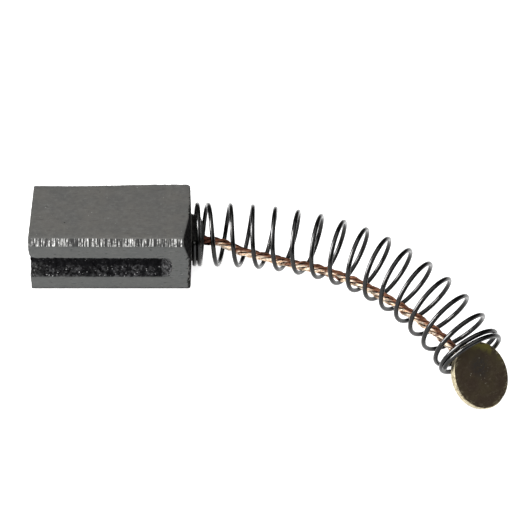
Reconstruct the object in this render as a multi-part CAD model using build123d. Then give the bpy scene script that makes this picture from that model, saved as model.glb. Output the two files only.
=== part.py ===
from build123d import *
import math
import os

# Carbon brush for a small motor: a grooved carbon block, a compression spring, a copper shunt and a brass disc.
# Millimetres. The block lies on its underside at z = 0, with its contact end towards -X and its spring end
# towards +X. The spring bends aside towards -Y until the disc at its end leans with its rim on the table.

# Carbon block
BLOCK_LENGTH = 14.0
BLOCK_WIDTH = 8.0
BLOCK_HEIGHT = 6.0
LONG_EDGE_CHAMFER = 0.5

# Guide groove in the front side, open at the contact end, with a sloping run-out at its closed end
GROOVE_HEIGHT = 2.05
GROOVE_DEPTH = 1.0
GROOVE_LENGTH = 12.3
GROOVE_RUNOUT = 0.9
GROOVE_END_ROUNDING = 0.8

# Worn edge and broken corner at the spring end of the front side
WORN_EDGE = 0.28
CHIP_ALONG_END = 4.16
CHIP_ALONG_SIDE = 0.8
CHIP_DOWN = 2.35

# Compression spring of round wire, closed at both ends; the wire starts on the near side of the coil's top
WIRE_DIAMETER = 0.4
COIL_RADIUS = 2.7
COIL_START_ANGLE = 61.0
TURNS = 17.1
CLOSED_COIL_GAP = 0.045
START_CLOSED_TURNS = 0.9
END_CLOSED_TURNS = 1.13
OPENING_TURNS = 0.99
SPRING_SEAT_GAP = 0.05

# Round boss on the block's spring end, which centres the first coils, with a tapered nose
BOSS_CLEARANCE = 0.4
BOSS_LENGTH = 1.15
BOSS_NOSE_LENGTH = 0.35
BOSS_NOSE_TAPER = 0.95

# The spring's bent axis: where it leaves the block, where it ends and how strongly it pulls at each end
SPRING_OFF_CENTRE_Y = 0.2
SPRING_OFF_CENTRE_Z = 0.2
SPRING_REACH = 22.97
SPRING_SWEEP = 14.69
SPRING_TABLE_GAP = 0.03
SPRING_END_HEADING = 65.7
SPRING_END_DIP = 13.8
SPRING_START_PULL = 9.32
SPRING_END_PULL = 11.94

# Facets of the wire: sides of its section and straight steps in a turn
WIRE_SIDES = 8
STEPS_PER_TURN = 24

# Brass terminal disc, leaning on its rim beyond the spring's end
DISC_RADIUS = 2.8
DISC_THICKNESS = 0.5
DISC_EDGE_CHAMFER = 0.06
DISC_FLAT_DEPTH = 0.08
DISC_AHEAD = 1.485
DISC_ASIDE = -0.1
DISC_FACE_TURN = 53.1
DISC_FACE_LIFT = 50.6
DISC_FLAT_TURN = -71.0

# Copper shunt and the solder that holds it to the back of the disc
SHUNT_DIAMETER = 0.8
SHUNT_DEPTH_IN_BLOCK = 3.5
SHUNT_BORE_CLEARANCE = 0.02
SHUNT_BACK_GAP = 0.03
SHUNT_BEND_SHARE = 0.45
SHUNT_FIRST_BEND = 0.6
# Further bends of the shunt: shares of the spring's axis, and how far it lies aside of and below that axis
SHUNT_BEND_SHARES = [0.158, 0.3, 0.459, 0.621, 0.782, 0.927]
SHUNT_ASIDE = [0.9, 1.23, 1.16, 1.29, 1.28, 0.68]
SHUNT_BELOW = [1.12, 1.53, 1.48, 1.32, 0.96, 0.46]
SOLDER_RADIUS = 1.2
SOLDER_COVER = 0.15

REAR = BLOCK_LENGTH / 2
FRONT = -BLOCK_WIDTH / 2
MID_HEIGHT = BLOCK_HEIGHT / 2


def make_carbon_block():
    block = Pos(0, 0, MID_HEIGHT) * Box(BLOCK_LENGTH, BLOCK_WIDTH, BLOCK_HEIGHT)
    block = chamfer(block.edges().filter_by(Axis.X), LONG_EDGE_CHAMFER)
    worn = block.edges().filter_by(Axis.Z).group_by(Axis.X)[-1].sort_by(Axis.Y)[0]
    block = chamfer(worn, WORN_EDGE)
    block -= make_groove()
    chip_end = Vector(REAR, FRONT + CHIP_ALONG_END, BLOCK_HEIGHT)
    chip_side = Vector(REAR - CHIP_ALONG_SIDE, FRONT, BLOCK_HEIGHT)
    chip_low = Vector(REAR, FRONT, BLOCK_HEIGHT - CHIP_DOWN)
    chip_outward = (chip_side - chip_end).cross(chip_low - chip_end)
    block = split(block, Plane(origin=chip_end, z_dir=chip_outward), keep=Keep.BOTTOM)
    block += make_boss()
    bore_radius = SHUNT_DIAMETER / 2 + SHUNT_BORE_CLEARANCE
    bore_depth = SHUNT_DEPTH_IN_BLOCK + SHUNT_BORE_CLEARANCE
    bore_plane = Plane(origin=(REAR - bore_depth, 0, MID_HEIGHT), z_dir=(1, 0, 0))
    block -= extrude(bore_plane * Circle(bore_radius), bore_depth + BOSS_LENGTH)
    return block


def make_boss():
    """Turned stub inside the spring's first coils, rooted a wire's width deep in the block."""
    radius = COIL_RADIUS - WIRE_DIAMETER / 2 - BOSS_CLEARANCE
    profile = Polyline(
        (-WIRE_DIAMETER, 0),
        (-WIRE_DIAMETER, radius),
        (BOSS_LENGTH - BOSS_NOSE_LENGTH, radius),
        (BOSS_LENGTH, radius - BOSS_NOSE_TAPER),
        (BOSS_LENGTH, 0),
        close=True,
    )
    return Pos(REAR, 0, MID_HEIGHT) * revolve(make_face(profile), Axis.X)


def make_groove():
    """Round-ended slot that runs out of the contact end, its floor rising to the face at its closed end."""
    closed_end = -REAR + GROOVE_LENGTH
    slot_plane = Plane(origin=(0, FRONT, MID_HEIGHT), x_dir=(1, 0, 0), z_dir=(0, -1, 0))
    half = GROOVE_HEIGHT / 2
    slot = Pos(-REAR + GROOVE_LENGTH / 2, 0) * Rectangle(GROOVE_LENGTH, GROOVE_HEIGHT)
    slot = fillet(slot.vertices().group_by(Axis.X)[-1], half * GROOVE_END_ROUNDING)
    groove = extrude(slot_plane * slot, -GROOVE_DEPTH)
    floor = FRONT + GROOVE_DEPTH
    ramp = Polyline(
        (closed_end - GROOVE_RUNOUT, floor),
        (closed_end, floor),
        (closed_end, FRONT),
        close=True,
    )
    ramp_solid = extrude(make_face(ramp), BLOCK_HEIGHT)
    return groove - ramp_solid


def spring_axis():
    """Bent centre line of the spring, square to the block's end where it leaves it."""
    start = Vector(REAR, SPRING_OFF_CENTRE_Y, MID_HEIGHT + SPRING_OFF_CENTRE_Z)
    end_height = COIL_RADIUS + WIRE_DIAMETER / 2 + SPRING_TABLE_GAP
    end = Vector(REAR + SPRING_REACH, SPRING_OFF_CENTRE_Y - SPRING_SWEEP, end_height)
    heading = math.radians(SPRING_END_HEADING)
    dip = math.radians(SPRING_END_DIP)
    direction = Vector(
        math.cos(dip) * math.cos(heading),
        -math.cos(dip) * math.sin(heading),
        -math.sin(dip),
    )
    start_handle = start + Vector(SPRING_START_PULL, 0, 0)
    return Bezier(start, start_handle, end - direction * SPRING_END_PULL, end)


def smooth_step(value):
    value = min(max(value, 0.0), 1.0)
    return value * value * (3 - 2 * value)


def coil_openness(turn):
    """0 where the coils are closed, at both ends of the spring, and 1 where they stand apart."""
    opening = smooth_step((turn - START_CLOSED_TURNS) / OPENING_TURNS)
    closing = smooth_step((TURNS - END_CLOSED_TURNS - turn) / OPENING_TURNS)
    return min(opening, closing)


def across(axis, share):
    """Directions ahead along the axis, level to its near side and up, at a share of its length."""
    ahead = axis % share
    side = ahead.cross(Vector(0, 0, 1)).normalized()
    return ahead, side, side.cross(ahead)


def make_spring(axis):
    """Wire sections set round the bent axis, joined by straight steps."""
    steps = round(TURNS * STEPS_PER_TURN)
    travel = WIRE_DIAMETER / 2 + SPRING_SEAT_GAP
    closed_pitch = WIRE_DIAMETER + CLOSED_COIL_GAP
    open_turns = TURNS - START_CLOSED_TURNS - END_CLOSED_TURNS - OPENING_TURNS
    spread = (axis.length - travel - closed_pitch * TURNS) / open_turns
    sections = []
    for step in range(steps + 1):
        turn = step / STEPS_PER_TURN
        share = travel / axis.length
        ahead, side, lift = across(axis, share)
        angle = 2 * math.pi * turn + math.radians(COIL_START_ANGLE)
        outward = lift * math.cos(angle) + side * math.sin(angle)
        around = side * math.cos(angle) - lift * math.sin(angle)
        pitch = closed_pitch + spread * coil_openness(turn)
        along = around * (2 * math.pi * COIL_RADIUS) + ahead * pitch
        place = Plane(origin=axis @ share + outward * COIL_RADIUS, x_dir=outward, z_dir=along)
        sections.append(place * RegularPolygon(WIRE_DIAMETER / 2, WIRE_SIDES))
        next_pitch = closed_pitch + spread * coil_openness(turn + 0.5 / STEPS_PER_TURN)
        travel += next_pitch / STEPS_PER_TURN
    return loft(sections, ruled=True)


def disc_plane(axis):
    """Plane of the disc's outer face, high enough for the rim to stand on the table."""
    heading = math.radians(SPRING_END_HEADING)
    ahead = Vector(math.cos(heading), -math.sin(heading), 0)
    aside = Vector(-math.sin(heading), -math.cos(heading), 0)
    face_turn = math.radians(DISC_FACE_TURN)
    face_lift = math.radians(DISC_FACE_LIFT)
    outward = Vector(
        math.cos(face_lift) * math.cos(face_turn),
        -math.cos(face_lift) * math.sin(face_turn),
        math.sin(face_lift),
    )
    spot = axis @ 1 + ahead * DISC_AHEAD + aside * DISC_ASIDE
    back_edge = DISC_THICKNESS * outward.Z + (DISC_RADIUS - DISC_EDGE_CHAMFER) * math.cos(face_lift)
    rim_edge = (DISC_THICKNESS - DISC_EDGE_CHAMFER) * outward.Z + DISC_RADIUS * math.cos(face_lift)
    height = max(back_edge, rim_edge)
    level = Vector(0, 0, 1).cross(outward)
    return Plane(origin=(spot.X, spot.Y, height), x_dir=level, z_dir=outward)


def make_terminal_disc(face):
    disc = extrude(Circle(DISC_RADIUS), -DISC_THICKNESS)
    disc = chamfer(disc.edges(), DISC_EDGE_CHAMFER)
    flat = Pos(2 * DISC_RADIUS - DISC_FLAT_DEPTH, 0) * Box(2 * DISC_RADIUS, 2 * DISC_RADIUS, 4 * DISC_THICKNESS)
    disc -= Rot(0, 0, DISC_FLAT_TURN) * flat
    return face * disc


def make_shunt(axis, face):
    """Taut lead along the inside of the bend, its end lying along the back of the disc."""
    first_bend = BOSS_LENGTH + SHUNT_FIRST_BEND
    points = [
        Vector(REAR - SHUNT_DEPTH_IN_BLOCK, 0, MID_HEIGHT),
        Vector(REAR + first_bend, 0, MID_HEIGHT),
    ]
    for share, aside, below in zip(SHUNT_BEND_SHARES, SHUNT_ASIDE, SHUNT_BELOW):
        ahead, side, lift = across(axis, share)
        points.append(axis @ share + side * aside - lift * below)
    standoff = DISC_THICKNESS + SHUNT_BACK_GAP + SHUNT_DIAMETER / 2
    points.append(face.origin - face.z_dir * standoff)
    runs = [after - before for before, after in zip(points, points[1:])]
    radii = []
    for before, after in zip(runs, runs[1:]):
        reach = SHUNT_BEND_SHARE * min(before.length, after.length)
        if not radii:
            reach = SHUNT_FIRST_BEND
        half_turn = math.radians(before.get_angle(after)) / 2
        radii.append(reach / math.tan(half_turn))
    path = FilletPolyline(*points, radius=radii)
    print("shunt length", round(path.length, 2), "bend radii", [round(radius, 1) for radius in radii])
    section = Plane(origin=path @ 0, z_dir=path % 0) * Circle(SHUNT_DIAMETER / 2)
    return sweep(section, path=path)


def make_solder_joint(face, shunt):
    """Low mound on the middle of the disc's back, with the shunt's end lying in it."""
    height = SHUNT_BACK_GAP + SHUNT_DIAMETER + SOLDER_COVER
    dome_radius = (SOLDER_RADIUS ** 2 + height ** 2) / (2 * height)
    dome = Pos(0, 0, height - dome_radius) * Sphere(dome_radius)
    mound = split(dome, Plane.XY, keep=Keep.TOP)
    back = Plane(origin=face.origin - face.z_dir * DISC_THICKNESS, x_dir=face.x_dir, z_dir=-face.z_dir)
    return back * mound - shunt


axis = spring_axis()
face = disc_plane(axis)
shunt = make_shunt(axis, face)
nodes = {
    "carbon_block": make_carbon_block(),
    "spring": make_spring(axis),
    "shunt": shunt,
    "terminal_disc": make_terminal_disc(face),
    "solder_joint": make_solder_joint(face, shunt),
}

os.makedirs("parts", exist_ok=True)
for name, solid in nodes.items():
    export_step(solid, f"parts/{name}.step")
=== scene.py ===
import math

import bpy
import numpy as np
from mathutils import Matrix, Vector, noise


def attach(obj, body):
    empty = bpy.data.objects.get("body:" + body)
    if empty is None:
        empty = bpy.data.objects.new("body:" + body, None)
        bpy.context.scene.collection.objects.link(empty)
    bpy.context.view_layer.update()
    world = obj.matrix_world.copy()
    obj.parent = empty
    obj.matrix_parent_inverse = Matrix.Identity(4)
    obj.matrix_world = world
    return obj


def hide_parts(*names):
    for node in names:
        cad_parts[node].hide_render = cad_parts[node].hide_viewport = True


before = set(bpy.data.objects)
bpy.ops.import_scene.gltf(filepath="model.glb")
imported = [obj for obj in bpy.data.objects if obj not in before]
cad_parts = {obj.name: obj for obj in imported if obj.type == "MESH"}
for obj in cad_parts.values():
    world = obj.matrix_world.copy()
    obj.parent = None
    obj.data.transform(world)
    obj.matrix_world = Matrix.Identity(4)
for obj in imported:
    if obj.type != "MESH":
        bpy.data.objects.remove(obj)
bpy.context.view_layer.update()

# Lengths and places are in millimetres, angles in degrees and powers in watts
MM = 0.001
ROOT_TWO = math.sqrt(2)
UP = (0, 0, 1)

# Carbon block
BLOCK_LENGTH = 14.0
BLOCK_WIDTH = 8.0
BLOCK_HEIGHT = 6.0
REAR = BLOCK_LENGTH / 2
BACK = BLOCK_WIDTH / 2
FRONT = -BACK
MID_HEIGHT = BLOCK_HEIGHT / 2
LONG_EDGE_CHAMFER = 0.5
BOSS_LENGTH = 1.15
GROOVE_HEIGHT = 2.05
GROOVE_DEPTH = 1.0
GROOVE_LENGTH = 12.3
GROOVE_END = GROOVE_LENGTH - REAR
CHIP_ALONG_END = 4.16
CHIP_ALONG_SIDE = 0.8
CHIP_DOWN = 2.35

# Fine mesh of the block, and the noise that wears it, in waves per millimetre
BLOCK_GRAIN = 0.085
COARSE_NOISE = 0.9
MEDIUM_NOISE = 2.6
SMALL_NOISE = 6.5
RIDGE_NOISE = 5.2
RIDGE_STRETCH = (1.0, 0.16, 0.16)
NOISE_SHIFT = (17.3, 5.1, 9.7)

# Worn places of the block and places of painted shade on it: widths, soft borders and how far noise makes
# them ragged
ON_FACE = 0.05
EDGE_REACH = 0.13
GROOVE_MOUTH = 0.06
GROOVE_FLOOR_SLACK = 0.15
GROOVE_WALL_SLACK = 0.08
LIP_REACH = 0.16
LIP_END_ROUNDING = 0.25
LIP_PAST_END = 0.3
LIP_CRUMBLE_GAIN = 1.6
LIP_CRUMBLE_CUT = 0.75
LIP_CRUMBLE_RAGGEDNESS = 0.5
RUNOUT_ROUNDING = 0.5
RUNOUT_MARGIN = 0.1
RUNOUT_BORDER = 0.08
RUBBED_LENGTH = 0.98
RUBBED_RAGGEDNESS = 0.12
RUBBED_BORDER = 0.1
BREAK_REACH = 0.16
STRIP_BORDER = 0.05
REAR_STRIP_WIDTH = 0.27
REAR_STRIP_RAGGEDNESS = 0.36
REAR_STRIP_WAVES = 0.2
REAR_STRIP_DEPTH = 0.6
TOP_STRIP_WIDTH = 0.07
TOP_STRIP_WIDENING = 0.2
TOP_STRIP_TAPER_END = 2.7
TOP_STRIP_TAPER = 2.4
TOP_STRIP_RAGGEDNESS = 0.16
TOP_STRIP_DEPTH = 0.3
BOSS_START = 0.01
END_LINE_SHADE = 0.55
END_LINE_START = 0.03
END_LINE_WIDTH = 0.13
END_LINE_RAGGEDNESS = 0.05
END_LINE_BORDER = 0.1
FOOT_LINE_SHADE = 0.75
FOOT_LINE_WIDTH = 0.165
FOOT_LINE_RAGGEDNESS = 0.044
FOOT_LINE_BORDER = 0.11
CHAMFER_HALF_WIDTH = 0.117
CHAMFER_BORDER = 0.09
CHAMFER_FACING = 0.2
CHAMFER_PAST_CHIP = 0.25

# Depths of the wear: the least, then what each layer of noise adds
EDGE_DEPTHS = (0.02, 0.05)
EDGE_FINENESS = 0.35
LIP_DEPTHS = (0.05, 0.11)
LIP_COARSENESS = 0.5
GROOVE_DEPTHS = (0.0, 0.16, 0.16, 0.1)
BREAK_DEPTHS = (0.04, 0.1, 0.06)
STRIP_DEPTHS = (0.02, 0.05)
SKIN_DEPTHS = (0.009, 0.006, 0.003)
CHAMFER_DEPTHS = (0.03, 0.035)
LIP_BREAK_DEPTH = 0.25
LIP_BREAK_REACH = (0.3, 0.7, 0.4)

# Pits in the block's top: place along X and Y, reach and depth
PITS = [
    (-5.55, 0.75, 0.09, 0.1),
    (-3.9, -0.55, 0.06, 0.06),
    (0.2, 0.95, 0.07, 0.05),
    (5.0, 2.2, 0.06, 0.05),
]
PITTED_DEPTH = 0.1

# The far top edge, which is fuller than a flat chamfer towards the spring end and rounded at its corners
FAR_EDGE_FULLNESS = 0.24
FAR_EDGE_RISE_START = -5.0
FAR_EDGE_RISE = 11.0
FAR_EDGE_RAGGEDNESS = 0.06
FAR_EDGE_HALF_WIDTH = 0.42
FAR_EDGE_DEPTH = 0.12
REAR_CORNER_ROUNDING = 0.38
CONTACT_CORNER_ROUNDING = 0.14

# Spring, with the same bent axis and winding as its solid
WIRE_DIAMETER = 0.4
COIL_RADIUS = 2.7
COIL_START_ANGLE = 61.0
TURNS = 17.1
CLOSED_COIL_GAP = 0.045
START_CLOSED_TURNS = 0.9
END_CLOSED_TURNS = 1.13
OPENING_TURNS = 0.99
SPRING_SEAT_GAP = 0.05
SPRING_OFF_CENTRE_Y = 0.2
SPRING_OFF_CENTRE_Z = 0.2
SPRING_REACH = 22.97
SPRING_SWEEP = 14.69
SPRING_TABLE_GAP = 0.03
SPRING_END_HEADING = 65.7
SPRING_END_DIP = 13.8
SPRING_START_PULL = 9.32
SPRING_END_PULL = 11.94
AXIS_SAMPLES = 4001
WIRE_SIDES = 20
STEPS_PER_TURN = 60

# Terminal disc
DISC_RADIUS = 2.8
DISC_THICKNESS = 0.5
DISC_FACE_TURN = 53.1
DISC_FACE_LIFT = 50.6
DISC_CENTRE = (30.672, -15.802, 2.126)

# Shunt: its route beside the spring's axis
SHUNT_DIAMETER = 0.8
SHUNT_DEPTH_IN_BLOCK = 3.5
SHUNT_BACK_GAP = 0.03
SHUNT_FIRST_BEND = 0.6
SHUNT_BEND_SHARES = [0.158, 0.3, 0.459, 0.621, 0.782, 0.927]
SHUNT_ASIDE = [0.9, 1.23, 1.16, 1.29, 1.28, 0.68]
SHUNT_BELOW = [1.12, 1.53, 1.48, 1.32, 0.96, 0.46]
SHUNT_LINE_STEPS = 40
SHUNT_CORE_RADIUS = 0.21
# Way of the side whose strands get a painted reflection of the floor
SHUNT_PAINTED_REFLECTION_SIDE = (-0.4, -0.62, -0.67)

# Twisted bundles of the shunt and the strands in each, with random waves in radians per millimetre
SHUNT_SEED = 4
WAVE_PHASES = (0, 6.28)
BUNDLES = 5
BUNDLE_LAY = 4.8
BUNDLE_LOOSENESS = 0.02
BUNDLE_WANDER = 0.05
BUNDLE_WANDER_RATES = (1.6, 2.6)
STRANDS_ROUND_MIDDLE = 6
STRAND_LAY = 3.1
STRAND_SPREAD = 1.12
STRAND_TIGHTENING = 0.6
STRAND_SLACK_RATES = (0.7, 1.6)
STRAND_TEXTURE_SHIFT = 3.0
STRAND_SIDES = 6
STRAND_RINGS = 300

# Camera, as fitted to the photograph
CAMERA_PLACE = (3.550, -78.891, 74.296)
CAMERA_AZIMUTH = -7.426
CAMERA_ELEVATION = 43.142
CAMERA_ROLL = 5.235
CAMERA_LENS = 80.51
CAMERA_SENSOR_WIDTH = 36.0
CAMERA_NEAREST = 1.0
CAMERA_FARTHEST = 10000.0

# Floor and lights
STAGE_MIDDLE = (12.0, -5.0, 0.0)
FLOOR_SIZE = 3000.0
FLOOR_DROP = 0.02
FLOOR_ALBEDO = 0.85
FLOOR_LIFT = 0.85
WORLD_STRENGTH = 0.12
OVERHEAD_PLACE = (-20.0, -60.0, 360.0)
OVERHEAD_SIZE = (600.0, 500.0)
OVERHEAD_POWER = 1.62
KEY_PLACE = (-170.0, -150.0, 120.0)
KEY_SIZE = (120.0, 160.0)
KEY_POWER = 0.41
WIRE_STRIP_PLACE = (-200.0, 0.0, 90.0)
WIRE_STRIP_SIZE = (100.0, 200.0)
WIRE_STRIP_POWER = 2.9

# Colours of the carbon's faces
CARBON_COOL = (0.09, 0.09, 0.086)
CARBON_WARM = (0.116, 0.111, 0.1)
CARBON_PALE_BLOTCH = (0.145, 0.143, 0.134)
CARBON_DARK_BLOTCH = (0.07, 0.07, 0.068)
CARBON_GRAIN = (0.14, 0.139, 0.132)
CARBON_FRONT = (0.058, 0.066, 0.067)
CARBON_PALE_SCRATCH = (0.2, 0.2, 0.195)
CARBON_DARK_SCRATCH = (0.045, 0.045, 0.045)
CARBON_DASH = (0.02, 0.02, 0.02)
CARBON_PIT = (0.012, 0.012, 0.012)
CARBON_PAINTED_GLINT = (0.5, 0.5, 0.48)

# Colours of the carbon's chamfer with its painted glints and shade, groove with its painted shadow and
# glints, and broken places and painted shade
STREAK_PAINTED_GLINT = (0.95, 0.95, 0.93)
STREAK_PAINTED_SHADE = (0.02, 0.02, 0.02)
CRUMB_DARK = (0.01, 0.01, 0.011)
CRUMB_PALE = (0.108, 0.108, 0.112)
CRUMB_SCALLOP = (0.006, 0.006, 0.007)
GROOVE_PAINTED_SHADOW = (0.005, 0.005, 0.006)
CRUMB_PAINTED_GLINT = (0.7, 0.7, 0.7)
LOOSE_DARK = (0.012, 0.012, 0.012)
LOOSE_PALE = (0.11, 0.11, 0.11)
RUBBED_DARK = (0.018, 0.018, 0.019)
RUBBED_PALE = (0.15, 0.15, 0.153)
RUBBED_PAINTED_GLINT = (0.5, 0.5, 0.5)
BREAK_AND_SHADE_DARK = (0.004, 0.004, 0.004)
BREAK_AND_SHADE_PALE = (0.024, 0.023, 0.022)

# Colours of the metals
WIRE_DARK = (0.024, 0.024, 0.0245)
WIRE_PALE = (0.034, 0.0335, 0.0325)
WIRE_LINE = (0.042, 0.042, 0.041)
COPPER_BROWN_DARK = (0.14, 0.058, 0.036)
COPPER_BROWN_PALE = (0.38, 0.18, 0.105)
COPPER_PAINTED_REFLECTION_DARK = (0.95, 0.6, 0.36)
COPPER_PAINTED_REFLECTION_PALE = (1.0, 0.93, 0.8)
COPPER_PAINTED_SHADE_BY_BLOCK = (0.09, 0.028, 0.02)
COPPER_PAINTED_SHADE_IN_GAPS = (0.04, 0.015, 0.01)
BRASS_BROWN = (0.068, 0.047, 0.031)
BRASS_OLIVE = (0.085, 0.066, 0.036)
BRASS_GRAIN = (0.12, 0.1, 0.075)
BRASS_SCRATCH = (0.2, 0.17, 0.12)
BRASS_BLOT = (0.045, 0.04, 0.037)
BRASS_SPECK = (0.36, 0.33, 0.26)
BRASS_WORN = (0.34, 0.3, 0.19)
BRASS_VERDIGRIS = (0.21, 0.19, 0.045)
BRASS_EDGE_DARK = (0.24, 0.2, 0.12)
BRASS_EDGE_PALE = (0.56, 0.5, 0.35)
SOLDER_DARK = (0.3, 0.3, 0.29)
SOLDER_PALE = (0.52, 0.51, 0.49)
SOLDER_GRAIN = (0.16, 0.15, 0.14)

# Painted shadow, painted glints and loose crumbs in the groove: heights below its middle, depths behind its
# mouth and lengths from the contact end
PAINTED_SHADOW_HEIGHTS = (0.8, 0.45)
PAINTED_GLINT_DEPTHS = (1.3, 0.5)
LOOSE_HEIGHTS = (0.1, 0.6)
LOOSE_LENGTHS = (1.6, 0.4)

# Lengths of the shunt outside the block where its painted shade fades out and where it is full
PAINTED_SHADE_LENGTHS = (2.25, 0.95)

# Marks on the disc's face: the dark blot, its specks, the worn rim and the green at the upper rim
BLOT_PLACE = (-0.1, 0.5, 0.4)
BLOT_RADII = (1.3, 0.4)
SPECK_RADII = (2.0, 1.0)
WORN_RADII = (DISC_RADIUS - 0.55, DISC_RADIUS - 0.1)
VERDIGRIS_RADII = (DISC_RADIUS - 1.2, DISC_RADIUS - 0.3)
UPPER_RIM_WAY = (0.3, 0.72, 0.62)
UPPER_RIM_REACH = (1.5, 2.4)

# Sockets of the mix node when it mixes colours
MIX_SHARE = 0
MIX_FIRST = 6
MIX_SECOND = 7
MIX_RESULT = 2


def unit(vectors):
    return vectors / np.linalg.norm(vectors, axis=-1, keepdims=True)


def smooth_step(value):
    value = np.clip(value, 0, 1)
    return value * value * (3 - 2 * value)


def strip(distance, width, border):
    """1 near an edge, falling to 0 over the border that ends at the width."""
    return np.clip((width - distance) / border, 0, 1)


def layered(depths, *layers):
    """The first depth, plus each further depth times its layer."""
    return depths[0] + sum(depth * layer for depth, layer in zip(depths[1:], layers))


def turned(first, second, turns):
    """The first direction turned towards the second, and the direction a quarter turn further."""
    angle = (2 * math.pi * turns)[:, None]
    return (
        first * np.cos(angle) + second * np.sin(angle),
        second * np.cos(angle) - first * np.sin(angle),
    )


def travel_along(points):
    """Length of a line up to each of its points."""
    steps = np.linalg.norm(np.diff(points, axis=0), axis=1)
    return np.concatenate([[0], np.cumsum(steps)])


def evaluated_mesh(source):
    """New mesh of an object with its modifiers or its curve worked out."""
    bpy.context.view_layer.update()
    return bpy.data.meshes.new_from_object(source.evaluated_get(bpy.context.evaluated_depsgraph_get()))


def shade_smooth(mesh):
    mesh.polygons.foreach_set("use_smooth", [True] * len(mesh.polygons))


def mesh_object(name, vertices, faces, texture_spots):
    """Smooth object from vertices in metres, with a texture coordinate for each vertex."""
    mesh = bpy.data.meshes.new(name)
    mesh.from_pydata(np.asarray(vertices).tolist(), [], faces)
    shade_smooth(mesh)
    corners = np.zeros(len(mesh.loops), dtype=np.int32)
    mesh.loops.foreach_get("vertex_index", corners)
    layer = mesh.uv_layers.new(name="along")
    layer.data.foreach_set("uv", np.asarray(texture_spots)[corners].astype(np.float32).ravel())
    mesh.update()
    made = bpy.data.objects.new(name, mesh)
    bpy.context.scene.collection.objects.link(made)
    return made


def tube(centres, outward, across, radius, sides):
    """Vertices, faces and texture spots of a round tube with flat ends, one ring at each centre."""
    angles = np.linspace(0, 2 * math.pi, sides, endpoint=False)
    rings = (
        centres[:, None, :]
        + radius * np.cos(angles)[None, :, None] * outward[:, None, :]
        + radius * np.sin(angles)[None, :, None] * across[:, None, :]
    )
    count = len(centres)
    faces = []
    for ring in range(count - 1):
        for side in range(sides):
            following = (side + 1) % sides
            low = ring * sides
            high = low + sides
            faces.append((low + side, low + following, high + following, high + side))
    faces.append(tuple(range(sides))[::-1])
    faces.append(tuple(range((count - 1) * sides, count * sides)))
    turn = np.abs(np.linspace(-1, 1, sides, endpoint=False))
    spots = np.stack([np.repeat(travel_along(centres), sides), np.tile(turn, count)], axis=1)
    return rings.reshape(-1, 3), faces, spots


def joined(tubes):
    """Vertices, faces and texture spots of several tubes as one mesh."""
    all_faces = []
    offset = 0
    for vertices, faces, spots in tubes:
        all_faces += [tuple(corner + offset for corner in face) for face in faces]
        offset += len(vertices)
    all_vertices = np.concatenate([vertices for vertices, faces, spots in tubes])
    all_spots = np.concatenate([spots for vertices, faces, spots in tubes])
    return all_vertices, all_faces, all_spots


class BentAxis:
    """The spring's cubic axis, read by travel along it."""

    def __init__(self):
        heading = math.radians(SPRING_END_HEADING)
        dip = math.radians(SPRING_END_DIP)
        direction = np.array([
            math.cos(dip) * math.cos(heading),
            -math.cos(dip) * math.sin(heading),
            -math.sin(dip),
        ])
        start = np.array([REAR, SPRING_OFF_CENTRE_Y, MID_HEIGHT + SPRING_OFF_CENTRE_Z])
        end_height = COIL_RADIUS + WIRE_DIAMETER / 2 + SPRING_TABLE_GAP
        end = np.array([REAR + SPRING_REACH, SPRING_OFF_CENTRE_Y - SPRING_SWEEP, end_height])
        start_handle = start + np.array([SPRING_START_PULL, 0, 0])
        end_handle = end - direction * SPRING_END_PULL
        self.controls = [start, start_handle, end_handle, end]
        self.values = np.linspace(0, 1, AXIS_SAMPLES)
        self.travel = travel_along(self.at_value(self.values))
        self.length = self.travel[-1]

    def at_value(self, value):
        value = np.asarray(value)[:, None]
        rest = 1 - value
        a, b, c, d = self.controls
        return rest**3 * a + 3 * rest**2 * value * b + 3 * rest * value**2 * c + value**3 * d

    def place(self, travel):
        """Points at these travels, with the directions ahead, level to the near side and up."""
        value = np.interp(travel, self.travel, self.values)[:, None]
        rest = 1 - value
        a, b, c, d = self.controls
        ahead = unit(rest**2 * (b - a) + 2 * rest * value * (c - b) + value**2 * (d - c))
        side = unit(np.cross(ahead, UP))
        return self.at_value(value[:, 0]), ahead, side, np.cross(side, ahead)


def coil_openness(turn):
    """0 in the closed coils at either end, 1 in the open ones."""
    opening = smooth_step((turn - START_CLOSED_TURNS) / OPENING_TURNS)
    closing = smooth_step((TURNS - END_CLOSED_TURNS - turn) / OPENING_TURNS)
    return np.minimum(opening, closing)


def make_spring(axis):
    """Round wire wound on the bent axis, closed at both ends."""
    turn = np.arange(round(TURNS * STEPS_PER_TURN) + 1) / STEPS_PER_TURN
    half_step = 0.5 / STEPS_PER_TURN
    first_travel = WIRE_DIAMETER / 2 + SPRING_SEAT_GAP
    closed_pitch = WIRE_DIAMETER + CLOSED_COIL_GAP
    open_turns = TURNS - START_CLOSED_TURNS - END_CLOSED_TURNS - OPENING_TURNS
    spread = (axis.length - first_travel - closed_pitch * TURNS) / open_turns
    step_pitch = closed_pitch + spread * coil_openness(turn[:-1] + half_step)
    travel = first_travel + np.concatenate([[0], np.cumsum(step_pitch / STEPS_PER_TURN)])
    centre, ahead, side, lift = axis.place(travel)
    outward, around = turned(lift, side, turn + COIL_START_ANGLE / 360)
    pitch = (closed_pitch + spread * coil_openness(turn))[:, None]
    along = unit(around * (2 * math.pi * COIL_RADIUS) + ahead * pitch)
    across = np.cross(along, outward)
    wire = centre + outward * COIL_RADIUS
    vertices, faces, spots = tube(wire, outward, across, WIRE_DIAMETER / 2, WIRE_SIDES)
    spring = mesh_object("spring_wire", vertices * MM, faces, spots)
    for end_face in spring.data.polygons[-2:]:
        end_face.use_smooth = False
    return spring


def disc_outward():
    """Direction that the terminal disc faces."""
    turn = math.radians(DISC_FACE_TURN)
    lift = math.radians(DISC_FACE_LIFT)
    return np.array([math.cos(lift) * math.cos(turn), -math.cos(lift) * math.sin(turn), math.sin(lift)])


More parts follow.
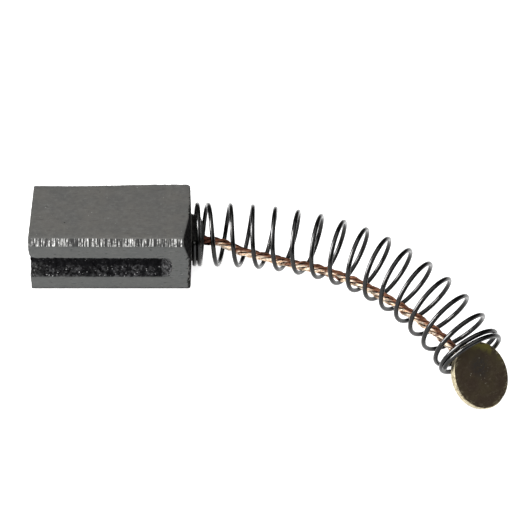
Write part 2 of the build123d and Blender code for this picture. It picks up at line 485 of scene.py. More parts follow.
def shunt_line(axis):
    """Points along the smooth line through the shunt's bends."""
    route = [
        (REAR - SHUNT_DEPTH_IN_BLOCK, 0, MID_HEIGHT),
        (REAR + BOSS_LENGTH + SHUNT_FIRST_BEND, 0, MID_HEIGHT),
    ]
    for share, aside, below in zip(SHUNT_BEND_SHARES, SHUNT_ASIDE, SHUNT_BELOW):
        centre, ahead, side, lift = axis.place(np.array([share * axis.length]))
        route.append(tuple(centre[0] + side[0] * aside - lift[0] * below))
    standoff = DISC_THICKNESS + SHUNT_BACK_GAP + SHUNT_DIAMETER / 2
    route.append(tuple(np.array(DISC_CENTRE) - disc_outward() * standoff))
    curve = bpy.data.curves.new("shunt_line", "CURVE")
    curve.dimensions = "3D"
    spline = curve.splines.new("NURBS")
    spline.points.add(len(route) - 1)
    for point, spot in zip(spline.points, route):
        point.co = (*spot, 1)
    spline.order_u = 3
    spline.use_endpoint_u = True
    spline.resolution_u = SHUNT_LINE_STEPS
    line = bpy.data.objects.new("shunt_line", curve)
    bpy.context.scene.collection.objects.link(line)
    mesh = evaluated_mesh(line)
    points = np.array([vertex.co for vertex in mesh.vertices])
    bpy.data.objects.remove(line)
    bpy.data.curves.remove(curve)
    bpy.data.meshes.remove(mesh)
    return points


def shunt_places(axis):
    """Travel to even places along the shunt, their points, and the directions to the side and up."""
    line = shunt_line(axis)
    travel = travel_along(line)
    spots = np.linspace(0, travel[-1], STRAND_RINGS)
    centre = np.stack([np.interp(spots, travel, values) for values in line.T], axis=1)
    ahead = unit(np.gradient(centre, axis=0))
    side = unit(np.cross(ahead, UP))
    return spots, centre, side, np.cross(side, ahead)


def random_wave(random, spots, rates):
    """Sine wave along the shunt, with a random rate and phase."""
    return np.sin(spots * random.uniform(*rates) + random.uniform(*WAVE_PHASES))


def strand_tubes(spots, centre, side, lift):
    """Tubes of all strands: each bundle has six strands round one, and the bundles lie round the line."""
    radius = SHUNT_DIAMETER / 2
    bundle_sine = math.sin(math.pi / BUNDLES)
    bundle_radius = radius * bundle_sine / (1 + bundle_sine)
    strand_radius = bundle_radius / 3
    random = np.random.default_rng(SHUNT_SEED)
    tubes = []
    for bundle in range(BUNDLES):
        outward, across = turned(side, lift, bundle / BUNDLES + spots / BUNDLE_LAY)
        wander = BUNDLE_LOOSENESS + BUNDLE_WANDER * random_wave(random, spots, BUNDLE_WANDER_RATES)
        bundle_centre = centre + outward * (radius - bundle_radius + wander)[:, None]
        for strand in range(STRANDS_ROUND_MIDDLE + 1):
            around, _ = turned(outward, across, strand / STRANDS_ROUND_MIDDLE + spots / STRAND_LAY)
            reach = bundle_radius - strand_radius if strand < STRANDS_ROUND_MIDDLE else 0
            slack = 0.5 + 0.5 * random_wave(random, spots, STRAND_SLACK_RATES)
            reach = reach * (STRAND_SPREAD - STRAND_TIGHTENING * slack)
            strand_centre = bundle_centre + reach[:, None] * around
            vertices, faces, texture_spots = tube(strand_centre, across, outward, strand_radius, STRAND_SIDES)
            texture_spots[:, 1] += STRAND_TEXTURE_SHIFT * len(tubes)
            tubes.append((vertices, faces, texture_spots))
    return tubes


def make_shunt(axis):
    """Twisted bundles of fine strands round a plain core, marked with the side that gets a painted reflection
    and with their depth.
    """
    spots, centre, side, lift = shunt_places(axis)
    tubes = strand_tubes(spots, centre, side, lift)
    tubes.append(tube(centre, lift, side, SHUNT_CORE_RADIUS, STRAND_SIDES))
    vertices, faces, texture_spots = joined(tubes)
    shunt = mesh_object("shunt_strands", vertices * MM, faces, texture_spots)

    radius = SHUNT_DIAMETER / 2
    ring_centres = np.repeat(centre, STRAND_SIDES, axis=0)
    from_middle = vertices - np.tile(ring_centres, (len(tubes), 1))
    # How far each vertex faces the side with the painted reflection of the floor; none on the core
    painted_reflection_side = from_middle @ np.array(SHUNT_PAINTED_REFLECTION_SIDE) / radius
    painted_reflection_side[-len(ring_centres):] = 0
    depth = 1 - np.linalg.norm(from_middle, axis=1) / radius
    for name, values in (("painted_reflection_side", painted_reflection_side), ("depth", depth)):
        layer = shunt.data.attributes.new(name, "FLOAT", "POINT")
        layer.data.foreach_set("value", values.astype(np.float32))
    return shunt


def noise_at(points, scale, seed):
    """Smooth noise between about -1 and 1 at each point, the same on every run."""
    shift = Vector([seed * value for value in NOISE_SHIFT])
    return np.array([noise.noise(Vector(point) * scale + shift) for point in points])


def vertex_rows(source, key):
    """A vector of each vertex, as the rows of an array."""
    values = np.zeros(len(source) * 3)
    source.foreach_get(key, values)
    return values.reshape(-1, 3)


class BlockSurface:
    """Vertices of the fine block, and how much each belongs to every worn place and every place of painted
    shade, from 0 to 1.
    """

    def __init__(self, mesh):
        self.points = vertex_rows(mesh.vertices, "co")
        self.normals = vertex_rows(mesh.vertex_normals, "vector")
        self.x, self.y, self.z = self.points.T
        self.coarse = noise_at(self.points, COARSE_NOISE, seed=1)
        self.medium = noise_at(self.points, MEDIUM_NOISE, seed=2)
        self.small = noise_at(self.points, SMALL_NOISE, seed=3)
        self.on_body = self.x < REAR + ON_FACE
        self.find_edges()
        self.find_groove()
        self.find_break()
        self.find_dark_places()
        self.find_streaked_chamfer()

    def find_edges(self):
        """Near an edge, the second nearest of the flat faces and chamfers is near too."""
        to_front = self.y - FRONT
        to_back = BACK - self.y
        to_top = BLOCK_HEIGHT - self.z
        self.to_top_front = (to_front + to_top - LONG_EDGE_CHAMFER) / ROOT_TWO
        self.to_top_back = (to_back + to_top - LONG_EDGE_CHAMFER) / ROOT_TWO
        to_low_front = (to_front + self.z - LONG_EDGE_CHAMFER) / ROOT_TWO
        to_low_back = (to_back + self.z - LONG_EDGE_CHAMFER) / ROOT_TWO
        flats = [self.x + REAR, REAR - self.x, to_front, to_back, self.z, to_top]
        chamfers = [self.to_top_front, self.to_top_back, to_low_front, to_low_back]
        second_nearest = np.sort(np.abs(flats + chamfers), axis=0)[1]
        self.near_edge = np.exp(-(second_nearest / EDGE_REACH) ** 2) * self.on_body

    def find_groove(self):
        """The inside of the groove, its lip on the front face and its rounded run-out."""
        beside = np.abs(self.z - MID_HEIGHT) - GROOVE_HEIGHT / 2
        past_end = self.x - GROOVE_END
        self.in_groove = (
            (self.y > FRONT + GROOVE_MOUTH)
            & (self.y < FRONT + GROOVE_DEPTH + GROOVE_FLOOR_SLACK)
            & (beside < GROOVE_WALL_SLACK)
            & (past_end < 0)
        )
        to_lip = np.hypot(np.maximum(beside, 0), np.maximum(past_end + LIP_END_ROUNDING, 0))
        on_lip = (self.y < FRONT + GROOVE_MOUTH) & (past_end < LIP_PAST_END)
        self.lip = np.exp(-(to_lip / LIP_REACH) ** 2) * on_lip
        into_corner = np.hypot(
            np.maximum(past_end + RUNOUT_ROUNDING, 0),
            np.maximum(beside + RUNOUT_ROUNDING, 0),
        )
        rounded = strip(into_corner, RUNOUT_ROUNDING + RUNOUT_MARGIN, RUNOUT_BORDER)
        self.within_runout = np.maximum(rounded, past_end < -RUNOUT_ROUNDING)
        self.rubbed = strip(-past_end, RUBBED_LENGTH + RUBBED_RAGGEDNESS * self.small, RUBBED_BORDER)

    def find_break(self):
        """The broken corner at the spring end."""
        chip_end = np.array([REAR, FRONT + CHIP_ALONG_END, BLOCK_HEIGHT])
        chip_side = np.array([REAR - CHIP_ALONG_SIDE, FRONT, BLOCK_HEIGHT])
        chip_low = np.array([REAR, FRONT, BLOCK_HEIGHT - CHIP_DOWN])
        outward = unit(np.cross(chip_side - chip_end, chip_low - chip_end))
        gap = np.abs((self.points - chip_end) @ outward)
        self.broken = strip(gap, BREAK_REACH, BREAK_REACH) * self.on_body * (self.z > MID_HEIGHT)

    def find_dark_places(self):
        """Dark places: the broken corner, worn strips at the spring end that also carry painted shade,
        painted shade on the boss, and thin lines of painted shade at the contact end and the foot.
        """
        small = self.small
        to_rear = REAR - self.x
        # Strips at the spring end: worn in shape, and painted shade in colour along the spring-end edges of
        # the front and top faces
        rear_width = REAR_STRIP_WIDTH + REAR_STRIP_RAGGEDNESS * small + REAR_STRIP_WAVES * self.medium
        rear_strip = strip(to_rear, rear_width, STRIP_BORDER) * (self.y < FRONT + REAR_STRIP_DEPTH)
        widening = TOP_STRIP_WIDENING * strip(self.y, TOP_STRIP_TAPER_END, TOP_STRIP_TAPER)
        top_width = TOP_STRIP_WIDTH + widening + TOP_STRIP_RAGGEDNESS * small
        top_strip = strip(to_rear, top_width, STRIP_BORDER) * (self.z > BLOCK_HEIGHT - TOP_STRIP_DEPTH)
        self.worn_and_shaded_strip = np.maximum(rear_strip, top_strip) * self.on_body
        # Painted shade on the boss, which sits among the closed coils
        boss = strip(to_rear, -BOSS_START, STRIP_BORDER)
        # Thin lines of painted shade along the contact-end edge and along the foot of the front face
        end_width = END_LINE_WIDTH + END_LINE_RAGGEDNESS * small
        end_edge_shade = END_LINE_SHADE * strip(self.x + REAR, end_width, END_LINE_BORDER)
        end_edge_shade *= self.x + REAR > END_LINE_START
        foot_width = FOOT_LINE_WIDTH + FOOT_LINE_RAGGEDNESS * small
        foot_edge_shade = FOOT_LINE_SHADE * strip(self.z - LONG_EDGE_CHAMFER, foot_width, FOOT_LINE_BORDER)
        foot_edge_shade *= self.y < FRONT + ON_FACE
        self.dark = np.maximum.reduce([self.broken, self.worn_and_shaded_strip, boss, end_edge_shade, foot_edge_shade])

    def find_streaked_chamfer(self):
        """The near top chamfer, as far as the broken corner, where the glints are painted."""
        across, up = self.normals[:, 1], self.normals[:, 2]
        facing = (up > CHAMFER_FACING) & (across < -CHAMFER_FACING)
        before_chip = self.x < REAR - CHIP_ALONG_SIDE + CHAMFER_PAST_CHIP
        chamfer = strip(np.abs(self.to_top_front), CHAMFER_HALF_WIDTH, CHAMFER_BORDER)
        self.chamfer = chamfer * facing * before_chip * (1 - self.dark)

    def wear_depth(self):
        """How far each vertex sinks in from a new block's surface."""
        medium, small = self.medium, self.small
        rubbing = np.clip(medium + EDGE_FINENESS * small, 0, 1)
        crumbling = np.clip(small + LIP_COARSENESS * medium, 0, 1)
        ridges = noise_at(self.points * np.array(RIDGE_STRETCH), RIDGE_NOISE, seed=6)
        depth = self.near_edge * layered(EDGE_DEPTHS, rubbing)
        depth += self.lip * layered(LIP_DEPTHS, crumbling)
        depth += self.in_groove * layered(GROOVE_DEPTHS, self.coarse, medium, small)
        depth += self.broken * layered(BREAK_DEPTHS, np.abs(medium), np.abs(small))
        depth += self.worn_and_shaded_strip * layered(STRIP_DEPTHS, np.abs(small))
        depth += self.chamfer * layered(CHAMFER_DEPTHS, ridges)
        depth += layered(SKIN_DEPTHS, medium, small)
        for pit_x, pit_y, pit_reach, pit_depth in PITS:
            away = np.hypot(self.x - pit_x, self.y - pit_y) / pit_reach
            depth += pit_depth * np.exp(-away**2) * (self.z > BLOCK_HEIGHT - PITTED_DEPTH)
        lip_corner = np.array([-REAR, FRONT, MID_HEIGHT + GROOVE_HEIGHT / 2])
        away = (self.points - lip_corner) / np.array(LIP_BREAK_REACH)
        depth += LIP_BREAK_DEPTH * np.exp(-(away**2).sum(axis=1))
        return depth

    def fill_far_edge(self, moved):
        """Fills the far top chamfer towards the spring end, and rounds its two corners."""
        across_edge = ((BACK - self.y) - (BLOCK_HEIGHT - self.z)) / ROOT_TWO
        fullness = FAR_EDGE_FULLNESS * smooth_step((self.x - FAR_EDGE_RISE_START) / FAR_EDGE_RISE)
        arched = np.maximum(0, 1 - (across_edge / FAR_EDGE_HALF_WIDTH) ** 2)
        raised = (fullness + FAR_EDGE_RAGGEDNESS * self.small) * arched
        raised *= np.abs(self.to_top_back) < FAR_EDGE_DEPTH
        moved[:, 1:] += raised[:, None] / ROOT_TWO
        for end, rounding in ((1, REAR_CORNER_ROUNDING), (-1, CONTACT_CORNER_ROUNDING)):
            past = np.clip(end * moved[:, 0] - REAR + rounding, 0, rounding)
            allowed = fullness - rounding + np.sqrt(rounding**2 - past**2)
            reached = (moved[:, 1] - BACK + moved[:, 2] - BLOCK_HEIGHT + LONG_EDGE_CHAMFER) / ROOT_TWO
            beyond = np.maximum(0, reached - allowed) * self.on_body
            moved[:, 1:] -= beyond[:, None] / ROOT_TWO

    def worn_points(self):
        """The vertices after wear, kept within the block's faces."""
        moved = self.points - self.normals * self.wear_depth()[:, None]
        self.fill_far_edge(moved)
        moved[:, 0] = np.maximum(moved[:, 0], -REAR)
        moved[:, 1] = np.clip(moved[:, 1], FRONT, BACK)
        moved[:, 2] = np.clip(moved[:, 2], 0, BLOCK_HEIGHT)
        return moved

    def marks(self):
        """What the material reads: groove, chamfer for the painted glints, dark places (broken corner and
        painted shade) and rubbed run-out.
        """
        crumbling = LIP_CRUMBLE_GAIN * self.lip + LIP_CRUMBLE_RAGGEDNESS * self.small
        crumbled_lip = np.clip(crumbling - LIP_CRUMBLE_CUT, 0, 1)
        groove = np.maximum(self.in_groove, crumbled_lip) * self.within_runout
        return np.stack([groove, self.chamfer, self.dark, self.rubbed], axis=1)


def make_block(node):
    """Fine mesh of the carbon block, with a crumbled groove, worn edges, broken corner and pits."""
    plain = node.data.copy()
    plain.transform(Matrix.Scale(1 / MM, 4))
    block = bpy.data.objects.new("carbon_block_worn", plain)
    bpy.context.scene.collection.objects.link(block)
    remesh = block.modifiers.new("fine", "REMESH")
    remesh.mode = "VOXEL"
    remesh.voxel_size = BLOCK_GRAIN
    fine = evaluated_mesh(block)
    block.modifiers.clear()
    block.data = fine
    bpy.data.meshes.remove(plain)

    surface = BlockSurface(fine)
    fine.vertices.foreach_set("co", (surface.worn_points() * MM).ravel())
    layer = fine.color_attributes.new("places", "FLOAT_COLOR", "POINT")
    layer.data.foreach_set("color", surface.marks().astype(np.float32).ravel())
    shade_smooth(fine)
    fine.update()
    return block


class Shading:
    """A new material with short ways to add nodes to it."""

    def __init__(self, name):
        self.material = bpy.data.materials.new(name)
        self.material.use_nodes = True
        self.tree = self.material.node_tree
        self.shader = self.tree.nodes["Principled BSDF"]

    def add(self, kind, inputs=None, **settings):
        made = self.tree.nodes.new(kind)
        for key, value in settings.items():
            setattr(made, key, value)
        for key, value in (inputs or {}).items():
            self.put(made.inputs[key], value)
        return made

    def put(self, socket, value):
        if isinstance(value, bpy.types.NodeSocket):
            self.tree.links.new(value, socket)
        else:
            socket.default_value = value

    def set(self, **values):
        for key, value in values.items():
            self.put(self.shader.inputs[key.replace("_", " ")], value)

    def vector(self, operation, first, second=(0, 0, 0)):
        made = self.add("ShaderNodeVectorMath", {0: first, 1: second}, operation=operation)
        return made.outputs["Value" if operation in ("DOT_PRODUCT", "LENGTH") else "Vector"]

    def number(self, operation, first, second=0.0):
        return self.add("ShaderNodeMath", {0: first, 1: second}, operation=operation).outputs[0]

    def product(self, first, *others):
        for other in others:
            first = self.number("MULTIPLY", first, other)
        return first

    def millimetres(self, stretch=(1, 1, 1)):
        spot = self.add("ShaderNodeTexCoord").outputs["Object"]
        return self.vector("MULTIPLY", spot, tuple(value / MM for value in stretch))

    def along(self, stretch=(1, 1, 1)):
        spot = self.add("ShaderNodeUVMap", uv_map="along").outputs[0]
        return self.vector("MULTIPLY", spot, stretch)

    def attribute(self, name):
        return self.add("ShaderNodeAttribute", attribute_name=name).outputs["Fac"]

    def noise(self, spot, scale=1.0, detail=2.0, roughness=0.5):
        inputs = {"Vector": spot, "Scale": scale, "Detail": detail, "Roughness": roughness}
        return self.add("ShaderNodeTexNoise", inputs).outputs["Fac"]

    def cells(self, spot, scale):
        return self.add("ShaderNodeTexVoronoi", {"Vector": spot, "Scale": scale}).outputs["Distance"]

    def band(self, value, low, high, first=0.0, last=1.0):
        """Smooth change from the first value, at low, to the last, at high."""
        inputs = {"Value": value, "From Min": low, "From Max": high, "To Min": first, "To Max": last}
        return self.add("ShaderNodeMapRange", inputs, interpolation_type="SMOOTHSTEP").outputs[0]

    def mix(self, share, first, second):
        made = self.add("ShaderNodeMix", data_type="RGBA")
        self.put(made.inputs[MIX_SHARE], share)
        for socket, color in ((MIX_FIRST, first), (MIX_SECOND, second)):
            linked = isinstance(color, bpy.types.NodeSocket)
            self.put(made.inputs[socket], color if linked else (*color, 1))
        return made.outputs[MIX_RESULT]

    def bump(self, height, strength, distance):
        inputs = {"Height": height, "Strength": strength, "Distance": distance * MM}
        return self.add("ShaderNodeBump", inputs).outputs[0]


def carbon_faces(look, spot, grain, scratches):
    """Mottled grey, cooler on the grooved side, with scratches, short dashes, pits and painted glints."""
    normal = look.add("ShaderNodeNewGeometry").outputs["Normal"]
    front = look.vector("DOT_PRODUCT", normal, (0, -1, 0))
    clouds = look.noise(spot, scale=0.35, detail=4.0, roughness=0.6)
    blotches = look.noise(spot, scale=2.6, detail=3.0, roughness=0.65)
    color = look.mix(look.band(clouds, 0.3, 0.7), CARBON_COOL, CARBON_WARM)
    color = look.mix(look.band(blotches, 0.48, 0.72, last=0.7), color, CARBON_PALE_BLOTCH)
    color = look.mix(look.band(blotches, 0.46, 0.28, last=0.75), color, CARBON_DARK_BLOTCH)
    color = look.mix(look.band(grain, 0.2, 0.8, last=0.4), color, CARBON_GRAIN)
    color = look.mix(look.band(front, 0.6, 0.9, last=0.5), color, CARBON_FRONT)
    color = look.mix(look.band(scratches, 0.6, 0.72, last=0.4), color, CARBON_PALE_SCRATCH)
    color = look.mix(look.band(scratches, 0.39, 0.29, last=0.55), color, CARBON_DARK_SCRATCH)
    dashes = look.product(
        look.band(look.noise(look.millimetres((1.6, 7.0, 7.0)), detail=1.0), 0.63, 0.67),
        look.band(front, 0.6, 0.9, last=0.8),
        look.band(look.noise(spot, scale=0.9, detail=1.0), 0.46, 0.56),
    )
    color = look.mix(dashes, color, CARBON_DASH)
    scarce = look.band(look.noise(spot, scale=0.75, detail=1.0), 0.5, 0.6)
    pits = look.product(look.band(look.cells(spot, scale=1.1), 0.05, 0.11, first=0.9, last=0.0), scarce)
    color = look.mix(pits, color, CARBON_PIT)
    # Glints: painted highlights, scarce like the pits
    glints = look.product(look.band(look.cells(spot, scale=1.7), 0.045, 0.085, first=0.6, last=0.0), scarce)
    return look.mix(glints, color, CARBON_PAINTED_GLINT)


def chamfer_painted_glints(look, color, chamfer):
    """Painted glints as fine bright strokes across the chamfer, broken and in clusters, with painted shade in
    the dark gaps between them.
    """
    strokes = look.noise(look.millimetres((15.5, 0.6, 0.6)), detail=1.0)
    breaks = look.noise(look.millimetres((6.0, 4.5, 4.5)), roughness=0.6)
    clusters = look.noise(look.millimetres((1.1, 0.1, 0.1)), detail=1.0)
    # Bright strokes: painted glints
    bright = look.product(
        look.band(strokes, 0.53, 0.585),
        look.band(breaks, 0.4, 0.56, first=0.08),
        look.band(clusters, 0.3, 0.5, first=0.6),
        chamfer,
    )
    # Dark gaps: painted shade between the strokes
    gaps = look.product(look.band(strokes, 0.525, 0.475), chamfer)
    color = look.mix(gaps, color, STREAK_PAINTED_SHADE)
    return look.mix(bright, color, STREAK_PAINTED_GLINT)


def groove_crumbs(look, spot, crumbs, rubbed):
    """Dark crumbs, black with painted shadow but for the groove's foot, with painted glints near the mouth
    and a paler run-out with painted glints.
    """
    x, y, z = look.add("ShaderNodeSeparateXYZ", {0: spot}).outputs
    scallops = look.noise(look.millimetres((1.3, 0.3, 0.3)), roughness=0.6)
    color = look.mix(look.band(crumbs, 0.42, 0.68), CRUMB_DARK, CRUMB_PALE)
    color = look.mix(look.band(scallops, 0.55, 0.42, last=0.75), color, CRUMB_SCALLOP)
    below_middle = look.number("SUBTRACT", MID_HEIGHT, z)
    # Painted shadow under the upper lip, black from a little below the middle up
    shade = look.band(below_middle, *PAINTED_SHADOW_HEIGHTS, last=0.86)
    color = look.mix(shade, color, GROOVE_PAINTED_SHADOW)
    toward_mouth = look.band(look.number("SUBTRACT", y, FRONT), *PAINTED_GLINT_DEPTHS, first=0.3)
    toward_end = look.product(
        look.band(look.number("ADD", x, REAR), *LOOSE_LENGTHS),
        look.band(below_middle, *LOOSE_HEIGHTS),
    )
    loose = look.mix(look.band(crumbs, 0.4, 0.65), LOOSE_DARK, LOOSE_PALE)
    color = look.mix(toward_end, color, loose)
    # Sparks: painted glints, fewer under the painted shadow
    sparks = look.product(
        look.band(look.cells(spot, scale=3.6), 0.13, 0.24, first=1.0, last=0.0),
        look.band(look.noise(spot, scale=2.2), 0.44, 0.58),
        look.number("MAXIMUM", toward_mouth, toward_end),
        look.band(shade, 0.0, 0.86, first=1.0, last=0.25),
    )
    color = look.mix(sparks, color, CRUMB_PAINTED_GLINT)
    pale = look.mix(look.band(crumbs, 0.4, 0.66), RUBBED_DARK, RUBBED_PALE)
    # Sparks in the run-out: painted glints
    pale = look.mix(look.band(look.cells(spot, scale=4.4), 0.1, 0.2, first=0.6, last=0.0), pale, RUBBED_PAINTED_GLINT)
    return look.mix(rubbed, color, pale)


def graphite():
    """Pressed carbon: satin grey faces with painted glints, a chamfer with painted glints and shade, a
    crumbled groove with a painted shadow and glints, and dark broken places and painted shade.
    """
    look = Shading("pressed_graphite")
    spot = look.millimetres()
    marks = look.add("ShaderNodeVertexColor", layer_name="places")
    groove, chamfer, dark = look.add("ShaderNodeSeparateColor", {0: marks.outputs["Color"]}).outputs
    grain = look.noise(spot, scale=9.0, detail=3.0, roughness=0.7)
    crumbs = look.noise(spot, scale=3.4, detail=4.0, roughness=0.7)
    scratches = look.noise(look.millimetres((0.35, 4.5, 4.5)), scale=3.0, roughness=0.6)

    color = carbon_faces(look, spot, grain, scratches)
    color = chamfer_painted_glints(look, color, chamfer)
    color = look.mix(groove, color, groove_crumbs(look, spot, crumbs, marks.outputs["Alpha"]))
    # Dark places: the broken corner, and painted shade on the boss, the spring-end strips and the edge lines
    break_and_shade_color = look.mix(look.band(crumbs, 0.4, 0.7), BREAK_AND_SHADE_DARK, BREAK_AND_SHADE_PALE)
    look.set(Base_Color=look.mix(dark, color, break_and_shade_color))

    # Rougher and less shiny in the groove and the dark places, painted shade included
    broken = look.number("MAXIMUM", groove, dark)
    roughness = look.band(grain, 0.2, 0.8, first=0.42, last=0.6)
    look.set(Roughness=look.number("ADD", roughness, look.product(broken, 0.25)))
    look.set(Specular_IOR_Level=look.band(broken, 0.0, 1.0, first=0.45, last=0.06))
    height = look.number("ADD", look.product(grain, 0.4), look.product(crumbs, broken))
    height = look.number("ADD", height, look.product(scratches, 0.3))
    look.set(Normal=look.bump(height, strength=0.5, distance=0.05))
    return look.material


def spring_steel():
    """Dark drawn wire with fine lines along it and patches of thicker oxide."""
    look = Shading("dark_drawn_wire")
    lines = look.noise(look.along((0.5, 9.0, 1.0)), scale=2.0, detail=3.0, roughness=0.6)
    patches = look.noise(look.millimetres(), scale=0.8, detail=3.0, roughness=0.6)
    color = look.mix(look.band(patches, 0.3, 0.7), WIRE_DARK, WIRE_PALE)
    color = look.mix(look.band(lines, 0.4, 0.7, last=0.35), color, WIRE_LINE)
    look.set(Base_Color=color, Metallic=1.0)
    look.set(Roughness=look.band(patches, 0.25, 0.75, first=0.16, last=0.24))
    look.set(Normal=look.bump(lines, strength=0.05, distance=0.005))
    return look.material


def copper_strands():
    """Fine copper strands, browned above, with a painted reflection of the floor below, and painted shade
    near the block and in the gaps.
    """
    look = Shading("copper_strands")
    travel = look.add("ShaderNodeSeparateXYZ", {0: look.along()}).outputs[0]
    tone = look.noise(look.along((0.5, 0.9, 1.0)), scale=1.6, roughness=0.6)
    patches = look.noise(look.millimetres(), scale=1.1, detail=3.0, roughness=0.6)
    brown = look.mix(look.band(tone, 0.35, 0.65), COPPER_BROWN_DARK, COPPER_BROWN_PALE)
    # bare: the bright colours of a painted reflection of the floor on the underside
    bare = look.mix(look.band(tone, 0.35, 0.6), COPPER_PAINTED_REFLECTION_DARK, COPPER_PAINTED_REFLECTION_PALE)
    # Painted shade near the block, where the shunt leaves it inside the spring
    outside = look.number("SUBTRACT", travel, SHUNT_DEPTH_IN_BLOCK + BOSS_LENGTH)
    shade_by_block = look.band(outside, *PAINTED_SHADE_LENGTHS, last=0.9)
    # Share of the painted reflection below, cut off by the painted shade near the block
    below = look.product(
        look.band(look.attribute("painted_reflection_side"), -0.25, 0.12),
        look.band(patches, 0.36, 0.48),
        look.number("SUBTRACT", 1.0, shade_by_block),
    )
    color = look.mix(below, brown, bare)
    # Painted shade near the block
    color = look.mix(shade_by_block, color, COPPER_PAINTED_SHADE_BY_BLOCK)
    # Painted shade in the gaps between strands, deeper towards the middle
    gaps = look.band(look.attribute("depth"), 0.16, 0.42, last=0.85)
    look.set(Base_Color=look.mix(gaps, color, COPPER_PAINTED_SHADE_IN_GAPS), Metallic=1.0)
    look.set(Roughness=look.band(tone, 0.3, 0.7, first=0.24, last=0.4))
    look.set(Normal=look.bump(tone, strength=0.2, distance=0.02))
    return look.material


def stained_face(look, spot, grain):
    """Brown and olive stains, a dark blot with pale specks, worn scratches and green at the upper rim."""
    from_middle = look.vector("SUBTRACT", spot, DISC_CENTRE)
    radius = look.vector("LENGTH", from_middle)
    from_blot = look.vector("LENGTH", look.vector("SUBTRACT", from_middle, BLOT_PLACE))
    upper = look.vector("DOT_PRODUCT", from_middle, UPPER_RIM_WAY)
    stains = look.noise(spot, scale=0.55, detail=4.0, roughness=0.6)
    scratches = look.noise(look.millimetres((0.8, 0.8, 5.0)), scale=1.6, detail=3.0, roughness=0.7)
    color = look.mix(look.band(stains, 0.35, 0.65), BRASS_BROWN, BRASS_OLIVE)
    color = look.mix(look.band(grain, 0.5, 0.8, last=0.5), color, BRASS_GRAIN)
    color = look.mix(look.band(scratches, 0.6, 0.72, last=0.35), color, BRASS_SCRATCH)
    blot = look.product(
        look.band(from_blot, *BLOT_RADII),
        look.band(grain, 0.35, 0.6, first=0.2, last=0.9),
    )
    color = look.mix(blot, color, BRASS_BLOT)
    specks = look.product(
        look.band(look.cells(spot, scale=3.0), 0.1, 0.2, first=0.8, last=0.0),
        look.band(look.noise(spot, scale=0.8, detail=1.0), 0.46, 0.56),
        look.band(from_blot, *SPECK_RADII, first=0.2),
    )
    color = look.mix(specks, color, BRASS_SPECK)
    worn = look.product(look.band(radius, *WORN_RADII), look.band(scratches, 0.5, 0.62, last=0.6))
    color = look.mix(worn, color, BRASS_WORN)
    verdigris = look.product(
        look.band(upper, *UPPER_RIM_REACH),
        look.band(radius, *VERDIGRIS_RADII),
        look.band(look.noise(spot, scale=1.4, detail=3.0, roughness=0.6), 0.4, 0.58),
    )
    return look.mix(verdigris, color, BRASS_VERDIGRIS)


def tarnished_brass():
    """Disc with a dark, stained face and a bare, pale edge."""
    look = Shading("tarnished_brass")
    spot = look.millimetres()
    grain = look.noise(spot, scale=5.0, detail=3.0, roughness=0.7)
    normal = look.add("ShaderNodeNewGeometry").outputs["True Normal"]
    facing = look.number("ABSOLUTE", look.vector("DOT_PRODUCT", normal, tuple(disc_outward())))
    face = look.band(facing, 0.9, 0.97)
    edge = look.mix(look.band(grain, 0.35, 0.6), BRASS_EDGE_DARK, BRASS_EDGE_PALE)
    look.set(Base_Color=look.mix(face, edge, stained_face(look, spot, grain)))
    look.set(Metallic=look.band(face, 0.0, 1.0, first=1.0, last=0.75))
    roughness = look.band(grain, 0.2, 0.8, first=0.3, last=0.5)
    look.set(Roughness=look.number("ADD", roughness, look.product(face, 0.08)))
    look.set(Normal=look.bump(grain, strength=0.35, distance=0.03))
    return look.material


def dull_solder():
    """Grey tin with a grainy, slightly wavy skin."""
    look = Shading("dull_solder")
    waves = look.noise(look.millimetres(), scale=1.6, detail=3.0, roughness=0.6)
    grain = look.noise(look.millimetres(), scale=8.0, roughness=0.6)
    color = look.mix(look.band(waves, 0.3, 0.7), SOLDER_DARK, SOLDER_PALE)
    color = look.mix(look.band(grain, 0.55, 0.8, last=0.5), color, SOLDER_GRAIN)
    look.set(Base_Color=color, Metallic=0.9)
    look.set(Roughness=look.band(waves, 0.3, 0.7, first=0.35, last=0.55))
    look.set(Normal=look.bump(waves, strength=0.5, distance=0.08))
    return look.material


def floor_white():
    """White that is lifted for camera, glossy and transmission rays, but not for diffuse light."""
    look = Shading("floor_white")
    look.set(Base_Color=(FLOOR_ALBEDO, FLOOR_ALBEDO, FLOOR_ALBEDO, 1))
    look.set(Roughness=0.9, Specular_IOR_Level=0.0)
    rays = look.add("ShaderNodeLightPath").outputs
    seen = look.number("MAXIMUM", rays["Is Camera Ray"], rays["Is Glossy Ray"])
    seen = look.number("MAXIMUM", seen, rays["Is Transmission Ray"])
    look.set(Emission_Color=(1, 1, 1, 1), Emission_Strength=look.product(seen, FLOOR_LIFT))
    return look.material


def make_camera():
    """Camera at the photograph's place, angle and roll."""
    sin, cos = math.sin, math.cos
    azimuth = math.radians(CAMERA_AZIMUTH)
    elevation = math.radians(CAMERA_ELEVATION)
    roll = math.radians(CAMERA_ROLL)
    back = Vector((
        sin(azimuth) * cos(elevation),
        -cos(azimuth) * cos(elevation),
        sin(elevation),
    ))
    level = Vector((cos(azimuth), sin(azimuth), 0))
    upright = back.cross(level)
    right = level * cos(roll) + upright * sin(roll)
    up = upright * cos(roll) - level * sin(roll)
    data = bpy.data.cameras.new("camera")
    data.lens = CAMERA_LENS
    data.sensor_width = CAMERA_SENSOR_WIDTH
    data.clip_start = CAMERA_NEAREST * MM
    data.clip_end = CAMERA_FARTHEST * MM
    camera = bpy.data.objects.new("camera", data)
    place = Vector(CAMERA_PLACE) * MM
    camera.matrix_world = Matrix((
        (right.x, up.x, back.x, place.x),
        (right.y, up.y, back.y, place.y),
        (right.z, up.z, back.z, place.z),
        (0, 0, 0, 1),
    ))
    bpy.context.scene.collection.objects.link(camera)
    bpy.context.scene.camera = camera


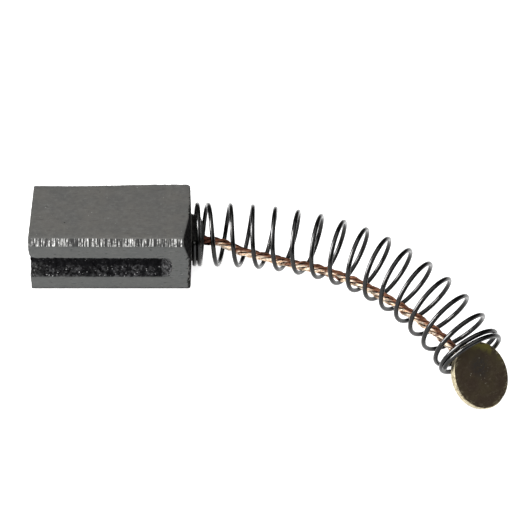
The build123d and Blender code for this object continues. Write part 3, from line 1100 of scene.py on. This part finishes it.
def area_light(name, place, size, power):
    """Soft rectangular light that faces the middle of the stage."""
    data = bpy.data.lights.new(name, "AREA")
    data.shape = "RECTANGLE"
    data.size = size[0] * MM
    data.size_y = size[1] * MM
    data.energy = power
    light = bpy.data.objects.new(name, data)
    light.location = Vector(place) * MM
    light.rotation_mode = "QUATERNION"
    light.rotation_quaternion = (Vector(STAGE_MIDDLE) - Vector(place)).to_track_quat("-Z", "Y")
    bpy.context.scene.collection.objects.link(light)
    return light


def make_stage():
    """White floor that takes a faint shadow, a dim even world, and soft lights above and on the left."""
    floor_place = (Vector(STAGE_MIDDLE) - Vector(UP) * FLOOR_DROP) * MM
    bpy.ops.mesh.primitive_plane_add(size=FLOOR_SIZE * MM, location=floor_place)
    floor = bpy.context.object
    floor.name = "floor"
    floor.data.materials.append(floor_white())
    world = bpy.data.worlds.new("studio")
    world.use_nodes = True
    background = world.node_tree.nodes["Background"]
    background.inputs["Color"].default_value = (1, 1, 1, 1)
    background.inputs["Strength"].default_value = WORLD_STRENGTH
    bpy.context.scene.world = world
    area_light("overhead", OVERHEAD_PLACE, OVERHEAD_SIZE, OVERHEAD_POWER)
    area_light("left_key", KEY_PLACE, KEY_SIZE, KEY_POWER)


def light_wire(spring):
    """Tall strip on the left that puts the bright streaks on the wire and lights nothing else."""
    light = area_light("wire_strip", WIRE_STRIP_PLACE, WIRE_STRIP_SIZE, WIRE_STRIP_POWER)
    receivers = bpy.data.collections.new("wire_strip_receivers")
    receivers.objects.link(spring)
    light.light_linking.receiver_collection = receivers


bpy.context.scene.view_settings.view_transform = "Standard"

axis = BentAxis()
make_camera()
make_stage()

made = {
    "carbon_block": (make_block(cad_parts["carbon_block"]), graphite(), "carbon"),
    "spring": (make_spring(axis), spring_steel(), "spring_steel"),
    "shunt": (make_shunt(axis), copper_strands(), "copper"),
}
light_wire(made["spring"][0])
for node, (piece, material, slot) in made.items():
    piece.data.materials.clear()
    piece.data.materials.append(material)
    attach(piece, "root")
    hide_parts(node)

for node, material in {"terminal_disc": tarnished_brass(), "solder_joint": dull_solder()}.items():
    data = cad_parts[node].data
    data.materials.clear()
    data.materials.append(material)
